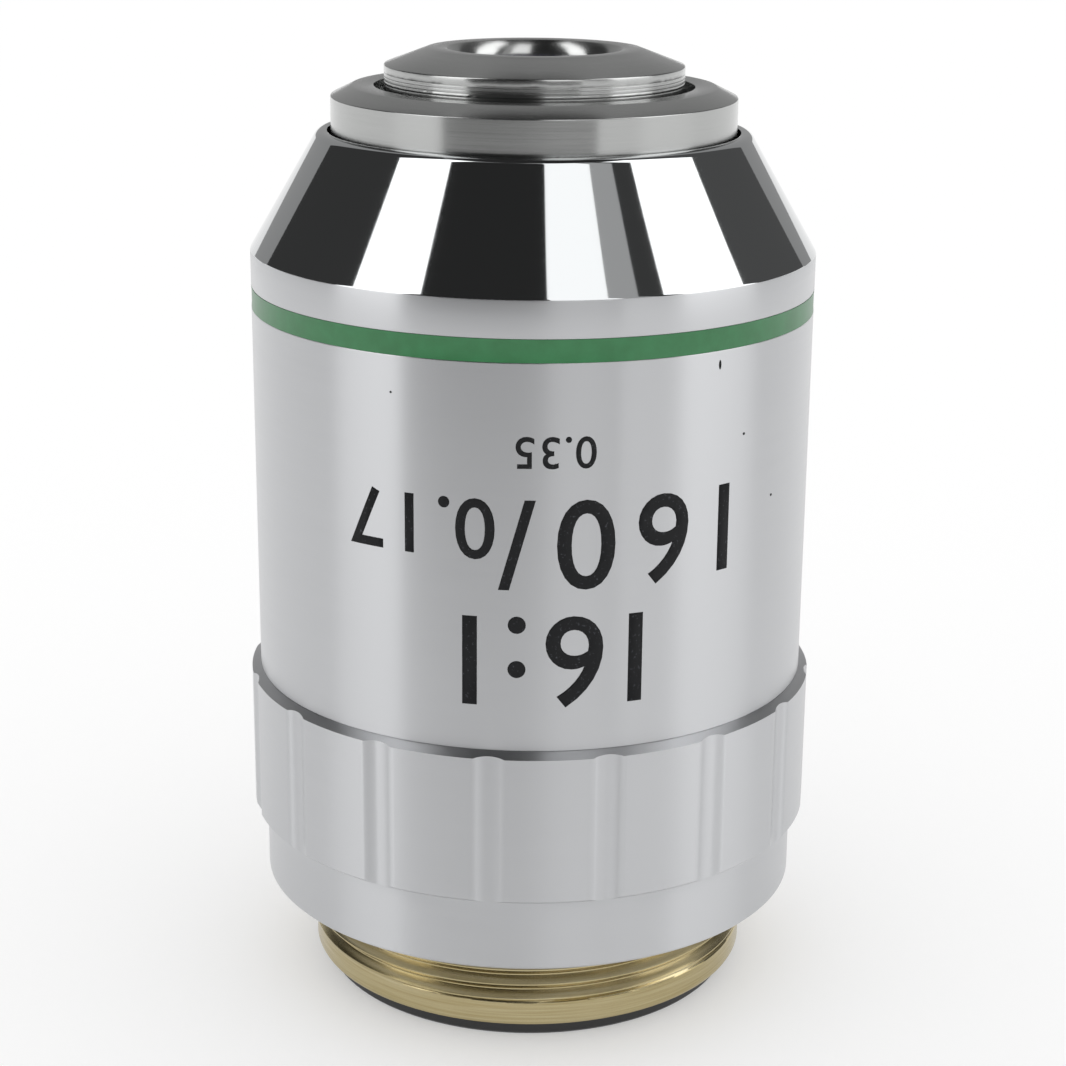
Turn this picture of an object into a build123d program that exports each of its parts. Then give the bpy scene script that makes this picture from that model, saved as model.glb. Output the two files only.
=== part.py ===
from build123d import *
import math
import os

# Microscope objective with a nose that gives way when it meets the slide.
# Millimetres. The optical axis is Z, z = 0 is the shoulder that seats on the nosepiece,
# and +Z runs from the mounting thread to the front lens.

# Mounting thread, a brass ring screwed into the base
thread_radius = 10.16
thread_length = 3.84
thread_bevel = 0.12
mount_spigot_step = 0.56
mount_spigot_height = 3.0
mount_wall = 1.3

# Black ring at the very back
rear_ring_step = 0.62
rear_ring_thickness = 0.81
rear_ring_spigot_length = 2.2
rear_ring_wall = 1.47

# Base with its plain shoulder and fluted grip
shoulder_width = 2.15
shoulder_height = 3.35
shoulder_relief_gap = 0.14
shoulder_relief_depth = 0.4
grip_stand = 0.41
grip_height = 6.56
grip_bevel_height = 0.25
edge_break = 0.12
flute_count = 16
flute_width = 1.35
flute_depth = 0.15
flute_turn = -7.5
guide_tube_reach = 3.84
tail_groove_room = 0.1

# Outer sleeve, its cone and its coloured band
sleeve_wall = 1.26
sleeve_length = 24.17
sleeve_tail_wall = 0.7
sleeve_tail_length = 3.56
cone_length = 5.12
mouth_rim_width = 0.44
mouth_gap = 0.156
mouth_land = 4.33
lip_rounding = 0.42
band_width = 0.95
band_depth = 0.15
band_below_cone = 1.57

# Lens barrel that slides in the base and the sleeve
travel = 2.5
barrel_radius = 8.854
barrel_wall = 0.884
barrel_stand = 1.47
barrel_bevel_height = 0.75
barrel_web_thickness = 1.0
barrel_web_lip = 0.37
spring_room = 2.346
flange_thickness = 2.5
rear_room = 0.5

# Nose with the two front lenses
nose_wall = 0.53
nose_stand = 0.58
nose_face_width = 0.83
nose_bevel_height = 0.7
nose_groove_depth = 1.35
nose_groove_width = 0.445
nose_opening_bevel_width = 0.37
nose_opening_bevel_depth = 0.48
nose_lip_width = 1.12
nose_lip_depth = 0.83
front_lens_radius = 4.57
front_lens_edge = 1.0
front_lens_curve = 7.0
front_lens_ring_height = 0.8
front_air_gap = 0.1
second_lens_radius = 5.97
second_lens_edge = 1.0
second_lens_curve = 12.0
second_lens_ring_recess = 0.6

# Doublets, each a crown lens cemented to a flint lens in its own cell
cell_lip_thickness = 0.6
cell_lip_width = 0.7
doublet_ring_height = 0.7
doublet_ring_recess = 0.3
front_cell_wall = 1.31
front_doublet_curve = 30.0
front_joint_curve = 14.0
front_crown_edge = 1.0
front_flint_centre = 0.95
rear_cell_wall = 1.01
rear_doublet_curve = 36.0
rear_joint_curve = 17.0
rear_crown_edge = 1.1
rear_flint_centre = 1.25

# Spacers, aperture stop, rear lens and the ring that clamps the stack
front_spacer_share = 0.6
spacer_wall = 0.74
stop_thickness = 0.6
stop_width = 2.74
rear_lens_cell_length = 3.6
rear_lens_cell_wall = 1.31
rear_lens_curve = 24.0
clamp_ring_height = 1.4
clamp_ring_width = 2.04
clamp_ring_recess = 0.2
spanner_slot_width = 1.0
spanner_slot_depth = 0.7

# Return spring of flat wire, and the screw that stops the barrel turning
spring_wire_width = 1.1
spring_wire_height = 0.7
spring_turns = 4
screw_radius = 1.0
screw_tip_radius = 0.6
screw_tip_reach = 0.43
screw_below_guide_top = 2.0
screw_slot_width = 0.3
screw_slot_depth = 0.4

# Clearances
seat_gap = 0.03
run_gap = 0.05
key_gap = 0.06
cement_gap = 0.02

# Radii that follow from the sizes above, the sleeve's and the grip's from the barrel that runs inside
mount_spigot_radius = thread_radius - mount_spigot_step
mount_bore_radius = mount_spigot_radius - mount_wall
shoulder_radius = thread_radius + shoulder_width
guide_bore_radius = barrel_radius + run_gap
sleeve_bore_radius = barrel_radius + spring_room
guide_tube_radius = sleeve_bore_radius - seat_gap
flange_radius = sleeve_bore_radius - run_gap
sleeve_tail_radius = sleeve_bore_radius + sleeve_tail_wall
sleeve_radius = sleeve_bore_radius + sleeve_wall
grip_radius = sleeve_radius + grip_stand
mouth_radius = barrel_radius + mouth_gap
cone_mouth_radius = mouth_radius + mouth_rim_width
barrel_bore_radius = barrel_radius - barrel_wall
cell_radius = barrel_bore_radius - seat_gap
key_slot_floor_radius = barrel_radius - screw_tip_reach - key_gap
front_pocket_radius = front_lens_radius + seat_gap
second_pocket_radius = second_lens_radius + seat_gap
nose_radius = second_pocket_radius + nose_wall
barrel_front_bore_radius = nose_radius + nose_groove_width
nose_thread_radius = barrel_front_bore_radius - seat_gap
barrel_web_opening_radius = second_lens_radius - barrel_web_lip
nose_lip_radius = front_lens_radius - nose_lip_width
nose_opening_radius = nose_lip_radius + nose_opening_bevel_width
nose_top_radius = nose_opening_radius + nose_face_width

# Heights that follow from the sizes above
grip_top = shoulder_height + grip_height + grip_bevel_height
mouth_z = grip_top + sleeve_length
cone_z = mouth_z - cone_length
band_top = cone_z - band_below_cone
band_bottom = band_top - band_width
stop_z = mouth_z - mouth_land
tail_z = grip_top - sleeve_tail_length
guide_top = grip_top + guide_tube_reach
screw_z = guide_top - screw_below_guide_top
barrel_rear_z = mount_spigot_height + travel + rear_room
barrel_shoulder_z = mouth_z + barrel_stand
barrel_top = barrel_shoulder_z + barrel_bevel_height
web_top = stop_z + barrel_web_thickness
nose_shoulder_z = barrel_top + nose_stand
nose_top = nose_shoulder_z + nose_bevel_height
nose_foot_z = barrel_top - nose_groove_depth
front_seat_z = nose_top - nose_lip_depth
clamp_ring_top = barrel_rear_z + clamp_ring_recess + clamp_ring_height
rear_cell_top = clamp_ring_top + rear_lens_cell_length


def turned(*outline):
    """Solid of revolution about Z from (radius, height) corners."""
    corners = [(radius, 0, height) for radius, height in outline]
    return revolve(make_face(Polyline(*corners, close=True)), Axis.Z)


def tube(outer, inner, low, high):
    return turned((inner, low), (outer, low), (outer, high), (inner, high))


def sag(curve, radius):
    """Depth of a spherical face of radius of curvature `curve` at `radius` from the axis."""
    return curve - math.sqrt(curve**2 - radius**2)


def ball(curve, centre_z):
    """Sphere with its poles beside the axis, so that a lens face has none."""
    return Pos(0, 0, centre_z) * Rot(90, 0, 0) * Sphere(curve)


def lens_blank(radius, low, high):
    return Pos(0, 0, (low + high) / 2) * Cylinder(radius, high - low)


def plano_convex(radius, front_z, edge, curve):
    """Lens with a flat front and a rear face that bulges to -Z."""
    rear_z = front_z - edge - sag(curve, radius)
    return lens_blank(radius, rear_z - edge, front_z) & ball(curve, rear_z + curve)


def mounting_thread():
    """Threaded brass ring; its thread is drawn as the cylinder over the crests."""
    return turned(
        (mount_bore_radius, -thread_length),
        (thread_radius - thread_bevel, -thread_length),
        (thread_radius, -thread_length + thread_bevel),
        (thread_radius, 0),
        (mount_spigot_radius, 0),
        (mount_spigot_radius, mount_spigot_height),
        (mount_bore_radius, mount_spigot_height),
    )


def rear_ring():
    """Black stop ring that screws into the back of the mounting thread."""
    outer_radius = thread_radius - rear_ring_step
    spigot_radius = mount_bore_radius - seat_gap
    opening_radius = spigot_radius - rear_ring_wall
    spigot_top = -thread_length + rear_ring_spigot_length
    return turned(
        (opening_radius, -thread_length - rear_ring_thickness),
        (outer_radius, -thread_length - rear_ring_thickness),
        (outer_radius, -thread_length),
        (spigot_radius, -thread_length),
        (spigot_radius, spigot_top),
        (opening_radius, spigot_top),
    )


def flute_cutters():
    """One round-nosed cutter for each shallow flute, sunk to the flute's depth."""
    half = flute_width / 2
    rise = flute_depth - sag(grip_radius, half)
    cutter_radius = (half**2 + rise**2) / (2 * rise)
    reach = grip_radius - flute_depth + cutter_radius
    height = grip_top - shoulder_height + 2 * edge_break
    middle = (grip_top + shoulder_height) / 2
    places = PolarLocations(reach, flute_count, start_angle=flute_turn - 90)
    return [Pos(0, 0, middle) * place * Cylinder(cutter_radius, height) for place in places]


def grip_base():
    """Base: shoulder, fluted grip, guide tube for the barrel and seats for thread and sleeve.

    Its bore opens out at the shoulder, so that the flat face starts outside the thread.
    """
    recess_radius = mount_spigot_radius + seat_gap
    recess_top = mount_spigot_height
    groove_radius = sleeve_tail_radius + seat_gap
    groove_floor = tail_z - tail_groove_room
    base = turned(
        (recess_radius, shoulder_relief_depth),
        (thread_radius + shoulder_relief_gap, 0),
        (shoulder_radius - edge_break, 0),
        (shoulder_radius, edge_break),
        (shoulder_radius, shoulder_height),
        (grip_radius - edge_break, shoulder_height),
        (grip_radius, shoulder_height + edge_break),
        (grip_radius, shoulder_height + grip_height),
        (sleeve_radius, grip_top),
        (groove_radius, grip_top),
        (groove_radius, groove_floor),
        (guide_tube_radius, groove_floor),
        (guide_tube_radius, guide_top),
        (guide_bore_radius, guide_top),
        (guide_bore_radius, recess_top),
        (recess_radius, recess_top),
    )
    screw_hole = Pos(guide_tube_radius, 0, screw_z) * Rot(0, 90, 0)
    screw_hole *= Cylinder(screw_radius + seat_gap, 3 * (guide_tube_radius - guide_bore_radius))
    return base - flute_cutters() - screw_hole


def outer_sleeve():
    """Outer sleeve: threaded tail, plain barrel with a groove for the band, cone and mouth."""
    band_floor = sleeve_radius - band_depth
    sleeve = turned(
        (sleeve_bore_radius, tail_z),
        (sleeve_tail_radius, tail_z),
        (sleeve_tail_radius, grip_top),
        (sleeve_radius, grip_top),
        (sleeve_radius, band_bottom),
        (band_floor, band_bottom),
        (band_floor, band_top),
        (sleeve_radius, band_top),
        (sleeve_radius, cone_z),
        (cone_mouth_radius, mouth_z),
        (mouth_radius, mouth_z),
        (mouth_radius, stop_z),
        (sleeve_bore_radius, stop_z),
    )
    rim = sleeve.edges().filter_by(GeomType.CIRCLE).group_by(Axis.Z)[-1]
    return fillet(rim.sort_by(SortBy.RADIUS)[-1], lip_rounding)


def colour_band():
    """Enamel that fills the sleeve's groove."""
    return tube(sleeve_radius, sleeve_radius - band_depth + cement_gap, band_bottom, band_top)


def lens_barrel():
    """Sliding barrel: rear bore for the cells, flange that meets the stop, bevelled front."""
    barrel = turned(
        (barrel_bore_radius, barrel_rear_z),
        (barrel_radius, barrel_rear_z),
        (barrel_radius, stop_z - flange_thickness),
        (flange_radius, stop_z - flange_thickness),
        (flange_radius, stop_z),
        (barrel_radius, stop_z),
        (barrel_radius, barrel_shoulder_z),
        (barrel_front_bore_radius, barrel_top),
        (barrel_front_bore_radius, web_top),
        (barrel_web_opening_radius, web_top),
        (barrel_web_opening_radius, stop_z),
        (barrel_bore_radius, stop_z),
    )
    across = 2 * (screw_tip_radius + key_gap)
    slot_middle = Pos(key_slot_floor_radius, 0, screw_z + travel / 2) * Rot(0, 90, 0)
    slot = slot_middle * extrude(SlotCenterToCenter(travel + 2 * key_gap, across), screw_radius)
    return barrel - slot


def front_cell():
    """Nose: turned cap with the two front lenses' seats, screwed into the barrel."""
    return turned(
        (second_pocket_radius, web_top),
        (nose_thread_radius, web_top),
        (nose_thread_radius, nose_foot_z),
        (nose_radius, nose_foot_z),
        (nose_radius, nose_shoulder_z),
        (nose_top_radius, nose_top),
        (nose_opening_radius, nose_top),
        (nose_lip_radius, nose_top - nose_opening_bevel_depth),
        (nose_lip_radius, front_seat_z),
        (front_pocket_radius, front_seat_z),
        (front_pocket_radius, second_seat_z()),
        (second_pocket_radius, second_seat_z()),
    )


def second_seat_z():
    """Height of the second lens's flat front, just behind the front lens's bulge."""
    depth = front_lens_edge + sag(front_lens_curve, front_lens_radius)
    return front_seat_z - depth - front_air_gap


def front_lens():
    return plano_convex(front_lens_radius, front_seat_z, front_lens_edge, front_lens_curve)


def second_lens():
    return plano_convex(second_lens_radius, second_seat_z(), second_lens_edge, second_lens_curve)


def bearing_z(rear_rim_z, curve, radius):
    """Height where a ring's inner edge bears on a lens's bulging rear face."""
    opening = radius - cell_lip_width
    return rear_rim_z - sag(curve, radius) + sag(curve, opening) - cement_gap


def front_lens_ring():
    top = bearing_z(front_seat_z - front_lens_edge, front_lens_curve, front_lens_radius)
    return tube(front_lens_radius, front_lens_radius - cell_lip_width, top - front_lens_ring_height, top)


def second_lens_ring():
    """Ring from the second lens down to a little above the barrel's web."""
    top = bearing_z(second_seat_z() - second_lens_edge, second_lens_curve, second_lens_radius)
    low = web_top + second_lens_ring_recess
    return tube(second_lens_radius, second_lens_radius - cell_lip_width, low, top)


def cell(top, length, lens_radius):
    """Cell that drops into the barrel, with a lip in front of its lens."""
    return turned(
        (lens_radius + seat_gap, top - length),
        (cell_radius, top - length),
        (cell_radius, top),
        (lens_radius - cell_lip_width, top),
        (lens_radius - cell_lip_width, top - cell_lip_thickness),
        (lens_radius + seat_gap, top - cell_lip_thickness),
    )


def doublet(name, wall, curve, joint_curve, crown_edge, flint_centre):
    """A doublet in its cell, with the cell's front at z = 0, and the cell's length.

    The crown's front face bears on the cell's lip. The flint is cemented behind it, is flat at
    the back and is held by a threaded ring.
    """
    radius = cell_radius - wall - seat_gap
    seat_drop = sag(curve, radius) - sag(curve, radius - cell_lip_width)
    crown_rim = -cell_lip_thickness - seat_drop - cement_gap
    crown_rear_rim = crown_rim - crown_edge
    apex = crown_rim + sag(curve, radius)
    joint_apex = crown_rear_rim - sag(joint_curve, radius)
    flint_flat = joint_apex - cement_gap - flint_centre
    ring_rear = flint_flat - doublet_ring_height
    length = doublet_ring_recess - ring_rear
    joint = ball(joint_curve, joint_apex + joint_curve)
    blank = lens_blank(radius, joint_apex - crown_edge, apex + crown_edge)
    flint_blank = lens_blank(radius, flint_flat, crown_rear_rim - cement_gap)
    nodes = {
        f"{name}_doublet_cell": cell(0, length, radius),
        f"{name}_crown_lens": blank & ball(curve, apex - curve) & joint,
        f"{name}_flint_lens": flint_blank - Pos(0, 0, -cement_gap) * joint,
        f"{name}_doublet_ring": tube(radius, radius - cell_lip_width, ring_rear, flint_flat),
    }
    return nodes, length


def rear_lens_and_cell():
    """Last lens in its cell: flat in front against the cell's lip, hollow behind."""
    radius = cell_radius - rear_lens_cell_wall - seat_gap
    low = rear_cell_top - rear_lens_cell_length
    hollow_z = low + sag(rear_lens_curve, radius)
    blank = lens_blank(radius, low, rear_cell_top - cell_lip_thickness)
    return {
        "rear_lens_cell": cell(rear_cell_top, rear_lens_cell_length, radius),
        "rear_lens": blank - ball(rear_lens_curve, hollow_z - rear_lens_curve),
    }


def rear_clamp_ring():
    """Ring that clamps the whole stack, with two slots for a spanner."""
    low = clamp_ring_top - clamp_ring_height
    ring = tube(cell_radius, cell_radius - clamp_ring_width, low, clamp_ring_top)
    return ring - Pos(0, 0, low) * Box(3 * cell_radius, spanner_slot_width, 2 * spanner_slot_depth)


def spacer(low, top):
    return tube(cell_radius, cell_radius - spacer_wall, low, top)


def lens_stack():
    """All that the clamp ring holds in the barrel; two spacers share the length that is left."""
    front, front_length = doublet(
        "front", front_cell_wall, front_doublet_curve, front_joint_curve, front_crown_edge, front_flint_centre
    )
    rear, rear_length = doublet(
        "rear", rear_cell_wall, rear_doublet_curve, rear_joint_curve, rear_crown_edge, rear_flint_centre
    )
    spare = stop_z - rear_cell_top - front_length - rear_length - stop_thickness
    front_spacer_top = stop_z - front_length
    rear_top = front_spacer_top - front_spacer_share * spare
    stop_top = rear_top - rear_length
    stop_low = stop_top - stop_thickness
    stack = {name: Pos(0, 0, stop_z) * solid for name, solid in front.items()}
    stack |= {name: Pos(0, 0, rear_top) * solid for name, solid in rear.items()}
    stack |= rear_lens_and_cell()
    stack["front_spacer"] = spacer(rear_top, front_spacer_top)
    stack["aperture_stop"] = tube(cell_radius, cell_radius - stop_width, stop_low, stop_top)
    stack["rear_spacer"] = spacer(rear_cell_top, stop_low)
    stack["rear_clamp_ring"] = rear_clamp_ring()
    return stack


def return_spring():
    """Flat-wire spring between the guide tube and the barrel's flange, its ends ground flat."""
    low = guide_top
    high = stop_z - flange_thickness
    middle_radius = (barrel_radius + sleeve_bore_radius) / 2
    rise = high - low - spring_wire_height
    path = Helix(rise / spring_turns, rise, middle_radius, center=(0, 0, low + spring_wire_height / 2))
    start = Plane(origin=path @ 0, z_dir=path % 0, x_dir=(1, 0, 0))
    coil = sweep(start * Rectangle(spring_wire_width, spring_wire_height), path, is_frenet=True)
    return coil & tube(sleeve_bore_radius, barrel_radius, low, high)


def guide_screw():
    """Grub screw in the guide tube, with its plain tip in the barrel's slot."""
    tip_end = barrel_radius - screw_tip_reach
    shank_start = guide_bore_radius + seat_gap
    head = math.sqrt(guide_tube_radius**2 - screw_radius**2)
    shank = Pos(0, 0, (shank_start + head) / 2) * Cylinder(screw_radius, head - shank_start)
    tip = Pos(0, 0, (tip_end + shank_start) / 2) * Cylinder(screw_tip_radius, shank_start - tip_end)
    slot = Pos(0, 0, head) * Box(3 * screw_radius, screw_slot_width, 2 * screw_slot_depth)
    return Pos(0, 0, screw_z) * Rot(0, 90, 0) * (shank + tip - slot)


def main():
    nodes = {
        "mounting_thread": mounting_thread(),
        "rear_ring": rear_ring(),
        "grip_base": grip_base(),
        "outer_sleeve": outer_sleeve(),
        "colour_band": colour_band(),
        "guide_screw": guide_screw(),
        "return_spring": return_spring(),
        "lens_barrel": lens_barrel(),
        "front_cell": front_cell(),
        "front_lens": front_lens(),
        "front_lens_ring": front_lens_ring(),
        "second_lens": second_lens(),
        "second_lens_ring": second_lens_ring(),
    }
    nodes |= lens_stack()
    os.makedirs("parts", exist_ok=True)
    for name, solid in nodes.items():
        export_step(solid, f"parts/{name}.step")


main()
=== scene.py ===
import math

import bmesh
import bpy
from mathutils import Matrix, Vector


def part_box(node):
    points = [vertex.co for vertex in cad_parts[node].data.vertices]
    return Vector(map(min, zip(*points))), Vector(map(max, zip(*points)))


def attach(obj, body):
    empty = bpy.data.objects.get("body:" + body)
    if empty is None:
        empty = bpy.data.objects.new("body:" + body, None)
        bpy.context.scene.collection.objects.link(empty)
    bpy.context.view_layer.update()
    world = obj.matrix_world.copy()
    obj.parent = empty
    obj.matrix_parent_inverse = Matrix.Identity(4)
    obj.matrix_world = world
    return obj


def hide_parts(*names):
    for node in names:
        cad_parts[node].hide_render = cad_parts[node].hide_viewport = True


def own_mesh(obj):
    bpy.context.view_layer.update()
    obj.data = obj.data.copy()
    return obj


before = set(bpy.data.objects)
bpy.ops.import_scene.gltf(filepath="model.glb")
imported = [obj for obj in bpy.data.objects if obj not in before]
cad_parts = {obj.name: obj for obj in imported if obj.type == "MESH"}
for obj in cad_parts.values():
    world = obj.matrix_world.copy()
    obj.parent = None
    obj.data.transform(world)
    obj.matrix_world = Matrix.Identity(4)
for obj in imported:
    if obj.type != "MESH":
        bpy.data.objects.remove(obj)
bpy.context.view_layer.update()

bl_info = {
    "name": "Microscope Objective",
    "version": (1, 0, 0),
    "blender": (4, 5, 0),
    "location": "3D View > Sidebar > Objective",
    "description": "Dresses a microscope objective: chromed sleeve, polished cone, thread, figures",
    "category": "Object",
}

# Millimetres are written as such and turned to metres by this factor.
MM = 0.001

# Height of the seam between grip and sleeve, in millimetres
GRIP_TOP = 10.16

# Height of a figure as a share of the font's size
FIGURE_SHARE = 0.72

# Slack in millimetres when vertices are picked by their place
NEAR = 0.01

# Vertices this close, in millimetres, are merged; the thread's rows end a little further apart
MERGE = 0.0005
THREAD_MERGE = 0.002

# Edges flatter than this angle, in degrees, are shaded smooth
SMOOTH_ANGLE = 40

# Width of the camera's sensor, in millimetres, which the focal length goes with
SENSOR_WIDTH = 36


def low(node):
    """Height of a CAD node's lower end, in millimetres."""
    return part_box(node)[0][2] / MM


def high(node):
    """Height of a CAD node's upper end, in millimetres."""
    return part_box(node)[1][2] / MM


def radius(node):
    """Largest radius of a CAD node, in millimetres."""
    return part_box(node)[1][1] / MM


# Sizes and colours that can be changed


def millimetres(label, description, default, precision=2):
    """Property that holds a size in millimetres."""
    return bpy.props.FloatProperty(
        name=f"{label} (mm)", description=description, default=default, precision=precision
    )


class SleeveSizes(bpy.types.PropertyGroup):
    """Outer sleeve with its cone and coloured band."""

    steps: bpy.props.IntProperty(
        name="Steps round", description="Faces round each turned surface", default=320, min=64
    )
    bevel: millimetres("Edge break", "Width of the broken edges", 0.05, precision=3)
    cone_length: millimetres("Cone length", "Height of the polished cone", 5.12)
    rim_width: millimetres("Rim width", "From the sleeve's mouth to the cone's top edge", 0.44)
    rim_rounding: millimetres("Rim rounding", "Radius between the cone and its top face", 0.42)
    mouth_radius: millimetres("Mouth radius", "Bore at the mouth", 9.01)
    mouth_land: millimetres("Mouth land", "Depth of the mouth's bore", 4.33)
    bore_radius: millimetres("Bore", "Radius of the bore", 11.2)
    tail_radius: millimetres("Tail radius", "Radius of the tail inside the grip", 11.9)
    band_depth: millimetres("Band depth", "Depth of the groove that the enamel fills", 0.15)
    band_bed: millimetres("Bed", "Gap below the enamel", 0.02, precision=3)
    band_hollow: millimetres("Hollow", "How far the enamel sinks as it dries", 0.015, precision=3)
    band_edge: millimetres("Enamel edge", "From the groove's wall to the full hollow", 0.2)


class GripSizes(bpy.types.PropertyGroup):
    """Base with its plain shoulder and its fluted grip."""

    steps: bpy.props.IntProperty(
        name="Steps round", description="Faces round the grip, a multiple of the flutes",
        default=480, min=64
    )
    bevel: millimetres("Edge break", "Width of the broken edges", 0.035, precision=3)
    shoulder_radius: millimetres("Shoulder radius", "Plain part below the grip", 12.31)
    shoulder_height: millimetres("Shoulder height", "From the seating face to the grip", 3.35)
    grip_height: millimetres("Grip height", "Height of the parallel part of the grip", 6.56)
    grip_bevel: millimetres("Grip bevel", "Height of the bevel above the grip", 0.25)
    chamfer: millimetres("Chamfer", "Chamfers of shoulder and grip", 0.12)
    tube_radius: millimetres("Guide tube", "Outer radius of the guide tube", 11.17)
    guide_radius: millimetres("Guide bore", "Bore that the barrel runs in", 8.904)
    tube_foot: millimetres("Groove floor", "Height of the groove's floor", 6.5)
    tube_top: millimetres("Guide tube top", "Height of the guide tube's end", 14.0)
    groove_radius: millimetres("Groove", "Outer radius of the groove for the sleeve's tail", 11.93)
    recess_radius: millimetres("Recess", "Bore for the thread's spigot", 9.63)
    recess_depth: millimetres("Recess depth", "Depth of that bore", 3.0)
    relief_radius: millimetres("Relief", "Inner edge of the seating face", 10.3)
    relief_depth: millimetres("Relief depth", "Depth of the relief beside the thread", 0.4)
    flutes: bpy.props.IntProperty(name="Flutes", description="Number of flutes", default=16)
    flute_width: millimetres("Flute width", "Across a flute", 1.35)
    flute_depth: millimetres("Flute depth", "Depth of a flute's middle", 0.15)
    flute_turn: bpy.props.FloatProperty(
        name="First flute (deg)", description="Angle of a flute from the front, clockwise",
        default=-7.5
    )


class NoseSizes(bpy.types.PropertyGroup):
    """Sliding barrel and the nose cap in front of it."""

    travel: millimetres("Travel", "How far the nose gives way", 2.5)
    radius: millimetres("Barrel", "Radius of the barrel", 8.854)
    bore: millimetres("Bore", "Radius of the barrel's bore", 7.97)
    front_bore: millimetres("Front bore", "Radius of the bore round the nose", 6.975)
    web_opening: millimetres("Web opening", "Radius of the opening behind the nose", 5.6)
    web: millimetres("Web", "Thickness of the web", 1.0)
    flange: millimetres("Flange", "Thickness of the flange that meets the stop", 2.5)
    bevel_foot: millimetres("Bevel foot", "From the barrel's front box to its bevel's foot", 0.75)
    bevel_height: millimetres("Bevel height", "Height of the barrel's bevel", 0.45)
    bevel_width: millimetres("Bevel width", "Width of the barrel's bevel", 0.92)
    cap_radius: millimetres("Cap", "Radius of the nose cap", 6.53)
    cap_bore: millimetres("Cap bore", "Bore for the second lens", 6.0)
    cap_foot: millimetres("Cap foot", "Height of the cap's groove", 35.2)
    cap_bevel: millimetres("Cap bevel", "Height of its cone", 0.7)
    face_radius: millimetres("Face", "Outer radius of the narrow flat face", 4.65)
    opening: millimetres("Opening", "Radius of the opening", 3.82)
    opening_bevel: millimetres("Opening bevel", "Depth of the opening's bevel", 0.48)
    lip_radius: millimetres("Lip", "Radius of the lip over the front lens", 3.45)
    lip_depth: millimetres("Lip depth", "Down to the lens", 0.83)
    pocket: millimetres("Lens pocket", "Radius of the front lens's pocket", 4.6)
    pocket_floor: millimetres("Pocket floor", "Height of the pocket's floor", 34.2)
    lines: bpy.props.IntProperty(
        name="Turned lines", description="Fine lines on the cap's wall", default=4
    )
    line_pitch: millimetres("Line pitch", "From line to line", 0.15)
    line_depth: millimetres("Line depth", "Depth of a line", 0.02, precision=3)
    line_width: millimetres("Line width", "Width of a line", 0.08)
    line_foot: millimetres("First line", "Height of the lowest line", 36.28)
    barrel_edge: millimetres("Barrel edge", "Width of the barrel's broken edges", 0.03, precision=3)
    cap_edge: millimetres("Cap edge", "Width of the cap's broken edges", 0.05, precision=3)
    cap_edge_angle: bpy.props.FloatProperty(
        name="Cap edge angle (deg)", description="Flatter edges of the cap stay sharp", default=50
    )


class ThreadSizes(bpy.types.PropertyGroup):
    """Mounting thread of 36 turns to the inch."""

    steps: bpy.props.IntProperty(
        name="Steps round", description="Faces round the thread", default=240
    )
    rows_per_turn: bpy.props.IntProperty(
        name="Rows per turn", description="Faces from crest to crest", default=14
    )
    pitch: millimetres("Pitch", "From crest to crest", 25.4 / 36, precision=4)
    depth: millimetres("Depth", "From crest to root", 0.34, precision=3)
    sharpness: bpy.props.FloatProperty(
        name="Sharpness", description="1 gives sharp tips, 0 a sine wave", default=0.95
    )
    neck: millimetres("Neck", "Plain neck between the shoulder and the thread", 0.5)
    front_crest: millimetres("Front crest", "Height of the upper crest at the front", -1.86)
    land: millimetres("Land", "Plain land below the last groove", 0.95)
    land_inset: millimetres("Land inset", "How far the land lies below the crests", 0.06)
    land_slope: bpy.props.FloatProperty(
        name="Land slope", description="How steeply a groove runs out into the land", default=1.4
    )
    neck_slope: bpy.props.FloatProperty(
        name="Neck slope", description="How steeply a crest runs out into the neck", default=1.2
    )
    neck_step: millimetres("Neck step", "From the thread's root out to the neck", 0.04)
    neck_taper: millimetres("Neck taper", "Height of the cone between the two", 0.1)
    seat_gap: millimetres("Seat gap", "From the neck's end to the seating face", 0.02)
    end_chamfer: millimetres("End chamfer", "Chamfer at the thread's lower end", 0.12)
    spigot_radius: millimetres("Spigot", "Radius of the spigot in the base", 9.6)
    bore_radius: millimetres("Bore", "Radius of the bore", 8.3)
    ring_opening: millimetres("Ring opening", "Opening of the black ring behind", 6.8)
    ring_spigot: millimetres("Ring spigot", "Radius of that ring's spigot", 8.27)
    ring_chamfer: millimetres("Ring chamfer", "At the ring's outer lower edge", 0.15)
    ring_sink: millimetres("Ring countersink", "At the ring's opening", 0.3)
    ring_edge: millimetres("Ring edge", "Width of the ring's broken edges", 0.03, precision=3)


class FigureSizes(bpy.types.PropertyGroup):
    """Engraved figures, filled with black."""

    depth: millimetres("Stand", "How far the filling stands from the metal", 0.006, precision=3)
    bold: bpy.props.FloatProperty(
        name="Bold", description="Thickening of the strokes, as a share of the height",
        default=0.01, precision=3
    )
    sink: millimetres("Sink", "How deep the filling goes into the metal", 0.03, precision=3)
    cut: millimetres("Cut width", "Widest flat stretch of a figure on the curved sleeve", 0.3)
    colour: bpy.props.StringProperty(
        name="Colour", description="Filling, as sRGB hex", default="101114"
    )


class CameraSizes(bpy.types.PropertyGroup):
    """Camera of the main view."""

    lens: millimetres("Lens", "Focal length on 36 mm", 79.11)
    distance: millimetres("Distance", "In front of the axis", 103.01)
    height: millimetres("Height", "Above the seating face", 47.354)
    tilt: bpy.props.FloatProperty(name="Tilt (deg)", description="Downwards", default=16.996)
    roll: bpy.props.FloatProperty(
        name="Roll (deg)", description="About the line of sight", default=0.484
    )
    turn: bpy.props.FloatProperty(name="Turn (deg)", description="Towards the right", default=0.057)


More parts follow.
